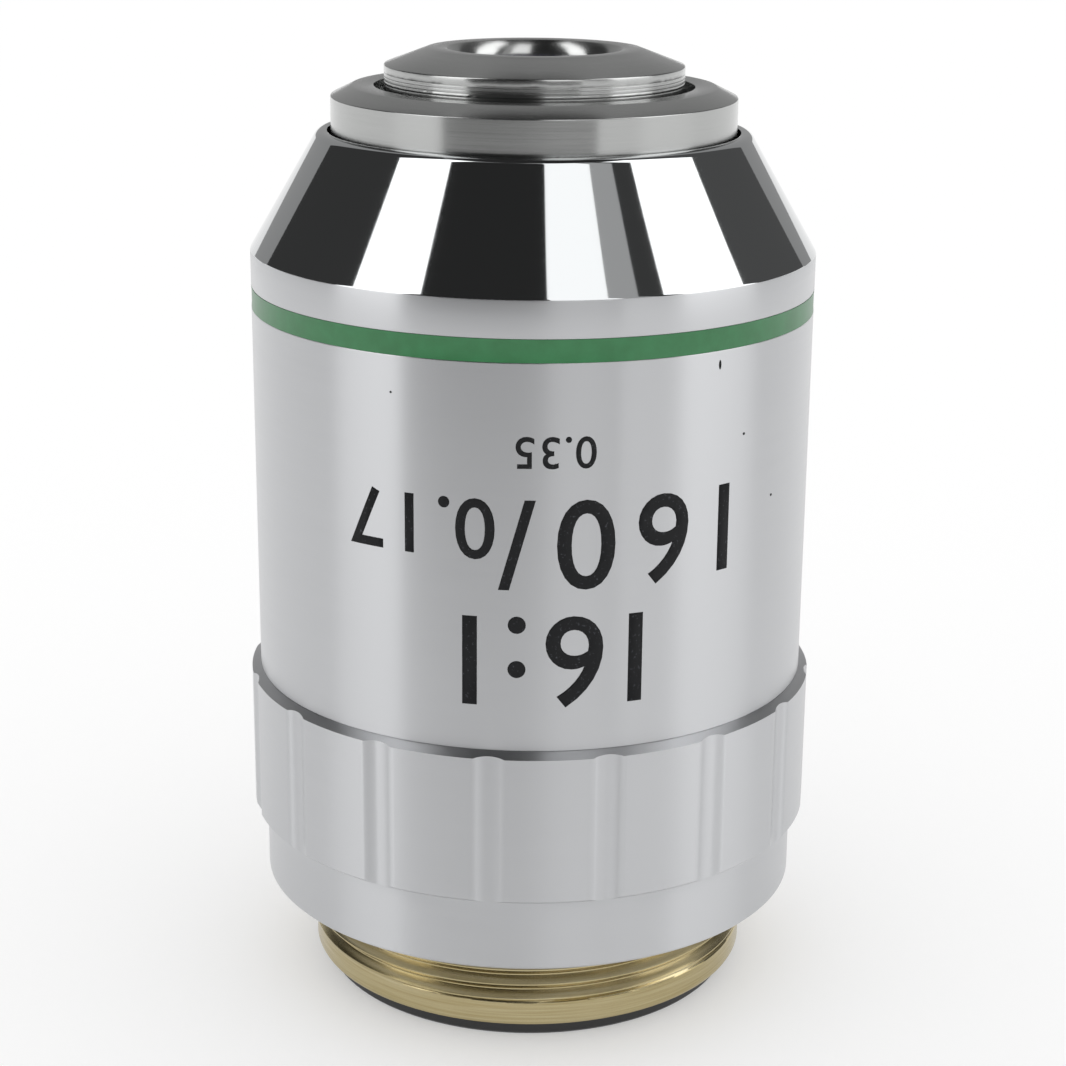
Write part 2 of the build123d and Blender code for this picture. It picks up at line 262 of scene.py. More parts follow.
class StageLight(bpy.types.PropertyGroup):
    """Floor, sky and the cards that the polished metal mirrors."""

    sky: bpy.props.FloatProperty(name="Sky", description="Strength of the even light", default=1.0)
    card_distance: millimetres("Card distance", "From the axis to the cards", 420.0)
    low_distance: millimetres("Low card distance", "From the axis to the nearer cards", 150.0)
    ceiling_height: millimetres("Overhead card height", "Above the seating face", 500.0)
    ceiling_radius: millimetres("Overhead card radius", "Radius of the card", 210.0)
    ceiling_strength: bpy.props.FloatProperty(
        name="Overhead card", description="Brightness of the card", default=0.03
    )
    middle: millimetres("Middle", "Height that the cards' angles are measured from", 30.0)
    floor_radius: millimetres("Floor radius", "Radius of the round floor", 3000.0)
    floor_glow: bpy.props.FloatProperty(
        name="Floor glow", description="Own light of the floor, which pales shadows", default=0.33
    )


# Materials


def linear(code):
    """Linear RGBA of an sRGB hex colour."""
    channels = [int(code[i:i + 2], 16) / 255 for i in (0, 2, 4)]
    return [c / 12.92 if c <= 0.04045 else ((c + 0.055) / 1.055) ** 2.4 for c in channels] + [1.0]


def add_node(tree, kind, inputs=None, **settings):
    """Adds one node with its settings; an input is either a value or another node's output."""
    node = tree.nodes.new(kind)
    for name, value in settings.items():
        setattr(node, name, value)
    for socket, value in (inputs or {}).items():
        if isinstance(value, bpy.types.NodeSocket):
            tree.links.new(value, node.inputs[socket])
        else:
            node.inputs[socket].default_value = value
    return node


def new_material(name, **inputs):
    """Material of one Principled shader, with its tree and shader. Names use _ for spaces."""
    material = bpy.data.materials.new(name)
    material.use_nodes = True
    tree = material.node_tree
    shader = tree.nodes["Principled BSDF"]
    for socket, value in inputs.items():
        shader.inputs[socket.replace("_", " ")].default_value = value
    return material, tree, shader


def ramp(tree, value, stops):
    """Colour ramp from a list of (place, sRGB hex)."""
    node = add_node(tree, "ShaderNodeValToRGB", {"Fac": value})
    elements = node.color_ramp.elements
    while len(elements) < len(stops):
        elements.new(0.5)
    for element, (place, code) in zip(elements, stops):
        element.position = place
        element.color = linear(code)
    return node.outputs["Color"]


def turned_grain(tree, spacing, stretch=0.02, detail=3.0):
    """Noise drawn out round the axis, as turning leaves it; spacing in millimetres along it."""
    place = add_node(tree, "ShaderNodeTexCoord").outputs["Object"]
    across = stretch / (spacing * MM)
    inputs = {"Vector": place, "Scale": (across, across, 1 / (spacing * MM))}
    scaled = add_node(tree, "ShaderNodeMapping", inputs).outputs["Vector"]
    inputs = {"Vector": scaled, "Scale": 1.0, "Detail": detail}
    return add_node(tree, "ShaderNodeTexNoise", inputs).outputs["Fac"]


def mottle(tree, spacing, detail):
    """Even noise with a spacing in millimetres."""
    place = add_node(tree, "ShaderNodeTexCoord").outputs["Object"]
    inputs = {"Vector": place, "Scale": 1 / (spacing * MM), "Detail": detail}
    return add_node(tree, "ShaderNodeTexNoise", inputs).outputs["Fac"]


def add_bump(tree, shader, height, depth):
    """Bumps the shader's normal by a height from 0 to 1 that stands for a depth in millimetres."""
    inputs = {"Height": height, "Strength": 1.0, "Distance": depth * MM}
    bump = add_node(tree, "ShaderNodeBump", inputs)
    tree.links.new(bump.outputs["Normal"], shader.inputs["Normal"])


def round_tangent(tree, shader):
    """Turns the shader's grain, so that highlights spread across the turning marks."""
    tangent = add_node(tree, "ShaderNodeTangent", direction_type="RADIAL", axis="Z")
    tree.links.new(tangent.outputs["Tangent"], shader.inputs["Tangent"])
    shader.inputs["Anisotropic Rotation"].default_value = 0.25


def roughness_from(tree, shader, value, least, most):
    """Lets a value from 0 to 1 vary the roughness."""
    inputs = {"Value": value, "To Min": least, "To Max": most}
    spread = add_node(tree, "ShaderNodeMapRange", inputs)
    tree.links.new(spread.outputs["Result"], shader.inputs["Roughness"])


def satin_chrome():
    """Chrome over finely turned brass: a soft, pale grey that smears reflections along the axis."""
    material, tree, shader = new_material(
        "satin_chrome", Base_Color=linear("C8C9CB"), Metallic=1.0, Anisotropic=0.97
    )
    round_tangent(tree, shader)
    roughness_from(tree, shader, turned_grain(tree, 0.12), 0.29, 0.34)
    add_bump(tree, shader, turned_grain(tree, 0.06, 0.01), 0.0006)
    return material


def polished_chrome():
    """Chrome over buffed brass: a clear mirror, a little darker than silver."""
    material, tree, shader = new_material(
        "polished_chrome", Base_Color=linear("C6C8C9"), Metallic=1.0
    )
    roughness_from(tree, shader, turned_grain(tree, 0.25), 0.03, 0.06)
    return material


def turned_chrome():
    """Chrome over brass as the tool left it: bright, with fine rings that break up reflections."""
    material, tree, shader = new_material(
        "turned_chrome", Base_Color=linear("B4B5B4"), Metallic=1.0, Anisotropic=0.8
    )
    round_tangent(tree, shader)
    roughness_from(tree, shader, turned_grain(tree, 0.08), 0.18, 0.28)
    add_bump(tree, shader, turned_grain(tree, 0.09, 0.01), 0.0012)
    return material


def thread_brass():
    """Bare free-cutting brass, cut with a threading tool: pale gold with bright crests."""
    material, tree, shader = new_material("cut_brass", Metallic=1.0, Anisotropic=0.4)
    grain = turned_grain(tree, 0.1)
    colour = ramp(tree, grain, [(0.3, "AE9F74"), (0.6, "BFB28C"), (0.8, "CDC3A2")])
    tree.links.new(colour, shader.inputs["Base Color"])
    round_tangent(tree, shader)
    roughness_from(tree, shader, grain, 0.18, 0.3)
    add_bump(tree, shader, turned_grain(tree, 0.05, 0.01), 0.001)
    return material


def green_enamel():
    """Baked enamel paint in a groove: full colour, slightly uneven, with a soft gloss."""
    material, tree, shader = new_material(
        "green_enamel", IOR=1.5, Roughness=0.4, Coat_Weight=0.3, Coat_Roughness=0.2
    )
    noise = mottle(tree, 0.7, 4.0)
    colour = ramp(tree, noise, [(0.3, "1F6A38"), (0.7, "267441")])
    tree.links.new(colour, shader.inputs["Base Color"])
    add_bump(tree, shader, noise, 0.004)
    return material


def black_filling(code):
    """Black filling wax rubbed into engraved figures: matt, with pale specks where it is thin."""
    material, tree, shader = new_material("black_filling", IOR=1.36, Roughness=0.7)
    colour = ramp(tree, mottle(tree, 0.12, 3.0), [(0.0, code), (0.62, code), (0.78, "4A4C52")])
    tree.links.new(colour, shader.inputs["Base Color"])
    return material


def black_anodised():
    """Black anodised aluminium: dark grey-black with a silky metal sheen."""
    material, tree, shader = new_material("black_anodised", IOR=1.6, Base_Color=linear("17181A"))
    roughness_from(tree, shader, turned_grain(tree, 0.1), 0.35, 0.5)
    add_bump(tree, shader, turned_grain(tree, 0.08, 0.01), 0.001)
    return material


def blackened_brass():
    """Brass blackened with acid against stray light: matt black-brown."""
    material, tree, shader = new_material("blackened_brass", IOR=1.5, Base_Color=linear("1B1917"))
    roughness_from(tree, shader, turned_grain(tree, 0.15), 0.5, 0.7)
    return material


def spring_steel():
    """Blued spring steel: grey with a cool sheen."""
    material, tree, shader = new_material("spring_steel", Metallic=1.0, Base_Color=linear("8D929A"))
    roughness_from(tree, shader, turned_grain(tree, 0.3), 0.25, 0.4)
    return material


def screw_steel():
    """Plain turned steel of the guide screw."""
    material, tree, shader = new_material("screw_steel", Metallic=1.0, Base_Color=linear("A2A4A6"))
    roughness_from(tree, shader, turned_grain(tree, 0.1), 0.25, 0.4)
    return material


def coated_glass():
    """Optical glass with a faint violet bloom from its coating."""
    material, tree, shader = new_material(
        "coated_glass", IOR=1.52, Transmission_Weight=1.0, Base_Color=linear("F4F6F5"),
        Coat_Weight=0.5, Coat_Tint=linear("B9A8E8")
    )
    roughness_from(tree, shader, mottle(tree, 0.4, 4.0), 0.0, 0.04)
    return material


# Shaping


def deselect():
    """Deselects all, so that the next primitive is alone."""
    bpy.ops.object.select_all(action="DESELECT")


def place_ring(mesh, size, height):
    """Puts the selected ring of vertices at one radius and height, in millimetres."""
    for vertex in mesh.verts:
        if vertex.select:
            angle = math.atan2(vertex.co.y, vertex.co.x)
            vertex.co = (size * MM * math.cos(angle), size * MM * math.sin(angle), height * MM)


def ring_out(piece, size, height):
    """Extrudes the selected ring to a new radius and height."""
    bpy.ops.mesh.extrude_edges_move()
    mesh = bmesh.from_edit_mesh(piece.data)
    place_ring(mesh, size, height)
    bmesh.update_edit_mesh(piece.data)


def select_rims(piece, above):
    """Selects the open edges above a height in millimetres."""
    bpy.ops.mesh.select_all(action="DESELECT")
    mesh = bmesh.from_edit_mesh(piece.data)
    for edge in mesh.edges:
        if edge.is_boundary and all(vertex.co.z > above * MM for vertex in edge.verts):
            edge.select = True
    mesh.select_flush_mode()
    bmesh.update_edit_mesh(piece.data)


def turn(name, profile, steps):
    """Closed body of revolution through (radius, height) corners, in millimetres."""
    deselect()
    bpy.ops.mesh.primitive_circle_add(vertices=steps, radius=profile[0][0] * MM)
    piece = bpy.context.object
    piece.name = name
    bpy.ops.object.mode_set(mode="EDIT")
    bpy.ops.mesh.select_all(action="SELECT")
    mesh = bmesh.from_edit_mesh(piece.data)
    place_ring(mesh, *profile[0])
    for size, height in profile[1:] + profile[:1]:
        ring_out(piece, size, height)
    close()
    return piece


def close():
    """Merges the seams of the piece in edit mode, turns its faces outwards and leaves edit mode."""
    bpy.ops.mesh.select_all(action="SELECT")
    bpy.ops.mesh.remove_doubles(threshold=MERGE * MM)
    bpy.ops.mesh.normals_make_consistent(inside=False)
    bpy.ops.object.mode_set(mode="OBJECT")


def finish_edges(piece, width, angle=25):
    """Breaks the edges sharper than an angle in degrees, and shades the rest smooth."""
    bpy.context.view_layer.objects.active = piece
    if width:
        bevel = piece.modifiers.new("edge_break", "BEVEL")
        bevel.width = width * MM
        bevel.segments = 2
        bevel.limit_method = "ANGLE"
        bevel.angle_limit = math.radians(angle)
        bpy.ops.object.modifier_apply(modifier=bevel.name)
    piece.select_set(True)
    bpy.ops.object.shade_smooth_by_angle(angle=math.radians(SMOOTH_ANGLE))
    weighted = piece.modifiers.new("even_shading", "WEIGHTED_NORMAL")
    weighted.keep_sharp = True
    bpy.ops.object.modifier_apply(modifier=weighted.name)


def dress(piece, body, slot, nodes, *materials):
    """Gives a finished piece its materials and body, and hides the CAD nodes that it stands for.
    The slot is not used.
    """
    for material in materials:
        piece.data.materials.append(material)
    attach(piece, body)
    if nodes:
        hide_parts(*nodes)


def arc(centre, size, first, last, count):
    """Points on an arc of a profile; angles in degrees from +radius towards +height."""
    turns = [math.radians(first + (last - first) * i / count) for i in range(count + 1)]
    return [(centre[0] + size * math.cos(a), centre[1] + size * math.sin(a)) for a in turns]


def rim_arc(sleeve, cone_foot, mouth_top):
    """Rounding between the cone and the top face, tangent to both."""
    rim_radius = sleeve.mouth_radius + sleeve.rim_width
    lean = math.degrees(math.atan2(cone_foot[0] - rim_radius, mouth_top - cone_foot[1]))
    reach = sleeve.rim_rounding * math.tan(math.radians((90 - lean) / 2))
    centre = (rim_radius - reach, mouth_top - sleeve.rim_rounding)
    return arc(centre, sleeve.rim_rounding, lean, 90, 6)


class OBJECTIVE_OT_sleeve(bpy.types.Operator):
    """Outer sleeve: polished cone, satin barrel and the groove for the band"""

    bl_idname = "objective.sleeve"
    bl_label = "Outer sleeve"

    def execute(self, context):
        sizes = context.scene.objective_sleeve
        foot = low("outer_sleeve")
        top = high("outer_sleeve")
        size = radius("outer_sleeve")
        band_floor = size - sizes.band_depth
        profile = [
            (sizes.bore_radius, foot),
            (sizes.tail_radius, foot),
            (sizes.tail_radius, GRIP_TOP),
            (size, GRIP_TOP),
            (size, low("colour_band")),
            (band_floor, low("colour_band")),
            (band_floor, high("colour_band")),
            (size, high("colour_band")),
            (size, top - sizes.cone_length),
            *rim_arc(sizes, (size, top - sizes.cone_length), top),
            (sizes.mouth_radius, top),
            (sizes.mouth_radius, top - sizes.mouth_land),
            (sizes.bore_radius, top - sizes.mouth_land),
        ]
        piece = turn("sleeve_shell", profile, sizes.steps)
        finish_edges(piece, sizes.bevel)
        finishes = [satin_chrome(), polished_chrome()]
        dress(piece, "housing", "chromed_brass", ["outer_sleeve"], *finishes)
        cone_foot = (top - sizes.cone_length - 0.5 * sizes.bevel) * MM
        for face in piece.data.polygons:
            face.material_index = 1 if face.center.z > cone_foot else 0
        return {"FINISHED"}


class OBJECTIVE_OT_band(bpy.types.Operator):
    """Green enamel in the sleeve's groove, a little hollow as it dries"""

    bl_idname = "objective.band"
    bl_label = "Colour band"

    def execute(self, context):
        sizes = context.scene.objective_sleeve
        size = radius("colour_band")
        foot = low("colour_band")
        top = high("colour_band")
        inner = size - sizes.band_depth + sizes.band_bed
        sunk = size - sizes.band_hollow
        profile = [
            (inner, foot),
            (size, foot),
            (sunk, foot + sizes.band_edge),
            (sunk, (foot + top) / 2),
            (sunk, top - sizes.band_edge),
            (size, top),
            (inner, top),
        ]
        piece = turn("enamel_band", profile, sizes.steps)
        finish_edges(piece, 0)
        dress(piece, "housing", "green_enamel", ["colour_band"], green_enamel())
        return {"FINISHED"}


def flute_radius(sizes, size, angle):
    """Radius of the grip's wall at an angle from the front; a flute is a shallow round hollow."""
    pitch = 360 / sizes.flutes
    off = (angle - sizes.flute_turn + pitch / 2) % pitch - pitch / 2
    across = 2 * size * math.sin(math.radians(off) / 2)
    half = sizes.flute_width / 2
    if abs(across) >= half:
        return size
    return size - sizes.flute_depth * (1 - (across / half) ** 2)


class OBJECTIVE_OT_grip(bpy.types.Operator):
    """Base: plain shoulder and fluted grip, with the guide tube inside"""

    bl_idname = "objective.grip"
    bl_label = "Fluted grip"

    def execute(self, context):
        sizes = context.scene.objective_grip
        size = radius("grip_base")
        shoulder = sizes.shoulder_radius
        step = sizes.shoulder_height
        wall_top = step + sizes.grip_height
        sleeve = radius("outer_sleeve")
        groove = sizes.groove_radius
        recess = sizes.recess_radius
        profile = [
            (recess, sizes.relief_depth),
            (sizes.relief_radius, 0),
            (shoulder - sizes.chamfer, 0),
            (shoulder, sizes.chamfer),
            (shoulder, step),
            (size - sizes.chamfer, step),
            (size, step + sizes.chamfer),
            (size, wall_top),
            (sleeve, GRIP_TOP),
            (groove, GRIP_TOP),
            (groove, sizes.tube_foot),
            (sizes.tube_radius, sizes.tube_foot),
            (sizes.tube_radius, sizes.tube_top),
            (sizes.guide_radius, sizes.tube_top),
            (sizes.guide_radius, sizes.recess_depth),
            (recess, sizes.recess_depth),
        ]
        piece = turn("fluted_grip", profile, sizes.steps)
        self.cut_flutes(piece, sizes, size, sleeve)
        finish_edges(piece, sizes.bevel)
        dress(piece, "housing", "chromed_brass", ["grip_base"], satin_chrome())
        return {"FINISHED"}

    def cut_flutes(self, piece, sizes, size, sleeve):
        """Moves the grip's wall in at each flute, along the chamfer below and the bevel above."""
        step = sizes.shoulder_height
        wall_top = step + sizes.grip_height
        rise = sizes.grip_bevel / (size - sleeve)
        for vertex in piece.data.vertices:
            height = vertex.co.z / MM
            across = math.hypot(vertex.co.x, vertex.co.y) / MM
            if across < size - sizes.chamfer - NEAR or not step - NEAR < height < wall_top + NEAR:
                continue
            angle = math.degrees(math.atan2(vertex.co.x, -vertex.co.y))
            wall = flute_radius(sizes, size, angle)
            if wall >= across:
                continue
            if height > wall_top - NEAR:
                height = wall_top + (size - wall) * rise
            else:
                height = max(step, step + sizes.chamfer - (size - wall))
            scale = wall / across
            vertex.co = (vertex.co.x * scale, vertex.co.y * scale, height * MM)


class OBJECTIVE_OT_barrel(bpy.types.Operator):
    """Sliding barrel: the bright ring and bevelled collar that stand out of the cone"""

    bl_idname = "objective.barrel"
    bl_label = "Sliding barrel"

    def execute(self, context):
        sizes = context.scene.objective_nose
        foot = low("lens_barrel")
        flange = radius("lens_barrel")
        stop = high("outer_sleeve") - context.scene.objective_sleeve.mouth_land
        bevel = high("lens_barrel") - sizes.bevel_foot
        face = bevel + sizes.bevel_height
        profile = [
            (sizes.bore, foot),
            (sizes.radius, foot),
            (sizes.radius, stop - sizes.flange),
            (flange, stop - sizes.flange),
            (flange, stop),
            (sizes.radius, stop),
            (sizes.radius, bevel),
            (sizes.radius - sizes.bevel_width, face),
            (sizes.front_bore, face),
            (sizes.front_bore, stop + sizes.web),
            (sizes.web_opening, stop + sizes.web),
            (sizes.web_opening, stop),
            (sizes.bore, stop),
        ]
        piece = turn("sliding_barrel", profile, context.scene.objective_sleeve.steps)
        finish_edges(piece, sizes.barrel_edge)
        dress(piece, "nose_barrel", "turned_chrome", ["lens_barrel"], turned_chrome())
        return {"FINISHED"}


class OBJECTIVE_OT_nose(bpy.types.Operator):
    """Nose: turned cap with its bevelled top, round opening and fine turned lines"""

    bl_idname = "objective.nose"
    bl_label = "Nose"

    def execute(self, context):
        sizes = context.scene.objective_nose
        foot = low("front_cell")
        top = high("front_cell")
        thread = radius("front_cell")
        size = sizes.cap_radius
        profile = [
            (sizes.cap_bore, foot),
            (thread, foot),
            (thread, sizes.cap_foot),
            (size, sizes.cap_foot),
            *self.turned_lines(sizes),
            (size, top - sizes.cap_bevel),
            (sizes.face_radius, top),
            (sizes.opening, top),
            (sizes.lip_radius, top - sizes.opening_bevel),
            (sizes.lip_radius, top - sizes.lip_depth),
            (sizes.pocket, top - sizes.lip_depth),
            (sizes.pocket, sizes.pocket_floor),
            (sizes.cap_bore, sizes.pocket_floor),
        ]
        piece = turn("nose_cap", profile, context.scene.objective_sleeve.steps)
        finish_edges(piece, sizes.cap_edge, sizes.cap_edge_angle)
        dress(piece, "nose_barrel", "turned_chrome", ["front_cell"], turned_chrome())
        return {"FINISHED"}

    def turned_lines(self, sizes):
        """Corners of the fine V-shaped lines on the cap's wall."""
        corners = []
        for line in range(sizes.lines):
            foot = sizes.line_foot + line * sizes.line_pitch
            corners += [
                (sizes.cap_radius, foot),
                (sizes.cap_radius - sizes.line_depth, foot + sizes.line_width / 2),
                (sizes.cap_radius, foot + sizes.line_width),
            ]
        return corners


def thread_wave(turns, sharpness):
    """Shape of the thread along its axis, from -1 at the root to 1 at the crest."""
    return math.asin(sharpness * math.sin(2 * math.pi * turns)) / math.asin(sharpness)


class OBJECTIVE_OT_thread(bpy.types.Operator):
    """Brass mounting thread, a true right-hand helix with a plain neck below the shoulder"""

    bl_idname = "objective.thread"
    bl_label = "Mounting thread"

    def execute(self, context):
        sizes = context.scene.objective_thread
        crest = radius("mounting_thread")
        foot = low("mounting_thread")
        root = crest - sizes.depth
        land = crest - sizes.land_inset
        lower = foot + sizes.end_chamfer
        upper = -sizes.neck
        turns = math.ceil((upper - lower) / sizes.pitch) + 2
        rows = turns * sizes.rows_per_turn
        # a crest passes the front, three quarters of a turn on from +X, at the given height
        crests_below = math.ceil((sizes.front_crest - lower) / sizes.pitch + 1)
        start_height = sizes.front_crest - crests_below * sizes.pitch
        deselect()
        bpy.ops.mesh.primitive_grid_add(x_subdivisions=sizes.steps, y_subdivisions=rows, size=1.0)
        piece = bpy.context.object
        piece.name = "cut_thread"
        for vertex in piece.data.vertices:
            turn_part = vertex.co.x + 0.5
            turns_up = round((vertex.co.y + 0.5) * rows) / sizes.rows_per_turn
            height = start_height + (turns_up + turn_part) * sizes.pitch
            height = min(max(height, lower), upper)
            size = root + sizes.depth * (1 + thread_wave(turns_up, sizes.sharpness)) / 2
            # the groove runs out into the land below and into the neck above
            run = max(0, height - lower - sizes.land) * sizes.land_slope
            size = min(max(size, land - run), land + run)
            size = min(size, root + (upper - height) * sizes.neck_slope)
            angle = 2 * math.pi * turn_part
            vertex.co = (size * MM * math.cos(angle), size * MM * math.sin(angle), height * MM)
        bpy.ops.object.mode_set(mode="EDIT")
        bpy.ops.mesh.select_all(action="SELECT")
        bpy.ops.mesh.remove_doubles(threshold=THREAD_MERGE * MM)
        bpy.ops.mesh.select_all(action="DESELECT")
        bpy.ops.object.mode_set(mode="OBJECT")
        self.add_body(piece, sizes, root, foot, upper)
        finish_edges(piece, 0)
        dress(piece, "housing", "brass", ["mounting_thread"], thread_brass())
        return {"FINISHED"}

    def add_body(self, piece, sizes, root, foot, upper):
        """Carries the top edge over the neck and spigot and down the bore to the lower edge."""
        bpy.ops.object.mode_set(mode="EDIT")
        select_rims(piece, upper - NEAR)
        neck = root + sizes.neck_step
        end = radius("mounting_thread") - sizes.end_chamfer
        spigot_top = high("mounting_thread")
        for size, height in [
            (neck, upper + sizes.neck_taper),
            (neck, -sizes.seat_gap),
            (sizes.spigot_radius, -sizes.seat_gap),
            (sizes.spigot_radius, spigot_top),
            (sizes.bore_radius, spigot_top),
            (sizes.bore_radius, foot),
            (end, foot),
        ]:
            ring_out(piece, size, height)
        select_rims(piece, foot - NEAR)
        bpy.ops.mesh.bridge_edge_loops()
        close()


class OBJECTIVE_OT_rear_ring(bpy.types.Operator):
    """Black ring at the very back"""

    bl_idname = "objective.rear_ring"
    bl_label = "Rear ring"

    def execute(self, context):
        sizes = context.scene.objective_thread
        foot = low("rear_ring")
        top = high("rear_ring")
        size = radius("rear_ring")
        opening = sizes.ring_opening
        spigot = sizes.ring_spigot
        back = low("mounting_thread")
        profile = [
            (opening, foot + sizes.ring_sink),
            (opening + sizes.ring_sink, foot),
            (size - sizes.ring_chamfer, foot),
            (size, foot + sizes.ring_chamfer),
            (size, back),
            (spigot, back),
            (spigot, top),
            (opening, top),
        ]
        piece = turn("black_rear_ring", profile, sizes.steps)
        finish_edges(piece, sizes.ring_edge)
        dress(piece, "housing", "black_anodised", ["rear_ring"], black_anodised())
        return {"FINISHED"}


# Rows of plain numbers round the sleeve: height of a figure and of its foot above the seating face,
# in millimetres, then each character with its angle from the front in degrees, from the right
FIGURE_ROWS = [
    (4.0, 16.0, [("1", 20.5), ("6", 8.5), (":", -2.5), ("1", -11.5)]),
    (3.85, 20.95, [("1", 40.0), ("6", 26.0), ("0", 10.5), ("/", -2.6)]),
    (2.6, 21.0, [("0", -10.5), (".", -16.5), ("1", -23.5), ("7", -33.0)]),
    (1.35, 23.65, [("0", 10.2), (".", 6.9), ("3", 3.6), ("5", -1.2)]),
]

# Small dark specks on the sleeve: angle from the front in degrees, then place, width and length in
# millimetres
MARKS = [
    (37.9, 26.1, 0.13, 0.4),
    (45.0, 22.95, 0.14, 0.12),
    (55.0, 19.85, 0.14, 0.12),
    (-27.2, 25.15, 0.1, 0.1),
]


class OBJECTIVE_OT_figures(bpy.types.Operator):
    """Engraved figures round the sleeve, filled with black, and a few small dark specks"""

    bl_idname = "objective.figures"
    bl_label = "Figures"

    def execute(self, context):
        sizes = context.scene.objective_figures
        parts = [
            self.figure(sizes, character, height, angle, foot)
            for height, foot, row in FIGURE_ROWS
            for character, angle in row
        ]
        parts += [self.mark(sizes, *row) for row in MARKS]
        deselect()
        for part in parts:
            part.select_set(True)
        bpy.context.view_layer.objects.active = parts[0]
        bpy.ops.object.join()
        piece = bpy.context.object
        piece.name = "engraved_figures"
        thick = piece.modifiers.new("filling", "SOLIDIFY")
        thick.thickness = sizes.sink * MM
        thick.offset = -1
        bpy.ops.object.modifier_apply(modifier=thick.name)
        bpy.ops.object.mode_set(mode="EDIT")
        bpy.ops.mesh.select_all(action="SELECT")
        bpy.ops.mesh.normals_make_consistent(inside=False)
        bpy.ops.object.mode_set(mode="OBJECT")
        dress(piece, "housing", "black_anodised", [], black_filling(sizes.colour))
        return {"FINISHED"}

    def figure(self, sizes, character, height, angle, foot):
        """One character as a thin sheet round the sleeve, upside down as the engraver held it."""
        deselect()
        bpy.ops.object.text_add()
        text = bpy.context.object
        text.data.body = character
        text.data.align_x = "CENTER"
        text.data.size = height * MM / FIGURE_SHARE
        text.data.resolution_u = 6
        text.data.offset = sizes.bold * height * MM
        bpy.ops.object.convert(target="MESH")
        piece = bpy.context.object
        left = min(v.co.x for v in piece.data.vertices)
        right = max(v.co.x for v in piece.data.vertices)
        self.cut_strips(left, right, sizes.cut * MM)
        self.wrap(piece, sizes, (left + right) / 2, angle, foot)
        return piece

    def mark(self, sizes, angle, height, width, length):
        """One small oval speck."""
        deselect()
        bpy.ops.mesh.primitive_circle_add(vertices=12, radius=MM / 2, fill_type="TRIFAN")
        piece = bpy.context.object
        piece.scale = (width, length, 1)
        bpy.ops.object.transform_apply(location=False, rotation=False, scale=True)
        self.wrap(piece, sizes, 0, angle, height)
        return piece

    def cut_strips(self, left, right, step):
        """Cuts the active flat figure into narrow strips, so that it can follow the curve."""
        bpy.ops.object.mode_set(mode="EDIT")
        place = left + step
        while place < right:
            bpy.ops.mesh.select_all(action="SELECT")
            bpy.ops.mesh.bisect(plane_co=(place, 0, 0), plane_no=(1, 0, 0))
            place += step
        bpy.ops.object.mode_set(mode="OBJECT")

    def wrap(self, piece, sizes, middle, angle, foot):
        """Lays a flat sheet round the sleeve, its middle at an angle from the front."""
        size = (radius("outer_sleeve") + sizes.depth) * MM
        for vertex in piece.data.vertices:
            turn_by = math.radians(angle) - (vertex.co.x - middle) / size
            height = foot * MM - vertex.co.y
            vertex.co = (size * math.sin(turn_by), -size * math.cos(turn_by), height)


class OBJECTIVE_OT_spring(bpy.types.Operator):
    """Return spring of flat wire, shaped as in the CAD"""

    bl_idname = "objective.spring"
    bl_label = "Return spring"

    def execute(self, context):
        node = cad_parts["return_spring"]
        deselect()
        bpy.ops.mesh.primitive_plane_add(size=MM)
        piece = bpy.context.object
        piece.name = "flat_wire_spring"
        piece.data = node.data.copy()
        piece.data.materials.clear()
        bpy.ops.object.mode_set(mode="EDIT")
        close()
        finish_edges(piece, 0)
        dress(piece, "housing", "spring_steel", ["return_spring"], spring_steel())
        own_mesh(piece)
        return {"FINISHED"}


class OBJECTIVE_OT_inside(bpy.types.Operator):
    """Finishes of the inner pieces, whose shapes come from the CAD as they are"""

    bl_idname = "objective.inside"
    bl_label = "Inner pieces"

    def execute(self, context):
        finishes = {
            "optical_glass": coated_glass(),
            "blackened_brass": blackened_brass(),
            "black_anodised": black_anodised(),
            "screw_steel": screw_steel(),
        }
        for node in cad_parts.values():
            if node.hide_render:
                continue
            for slot in node.material_slots:
                for key, material in finishes.items():
                    if slot.material and slot.material.name.startswith(key):
                        slot.material = material
        return {"FINISHED"}


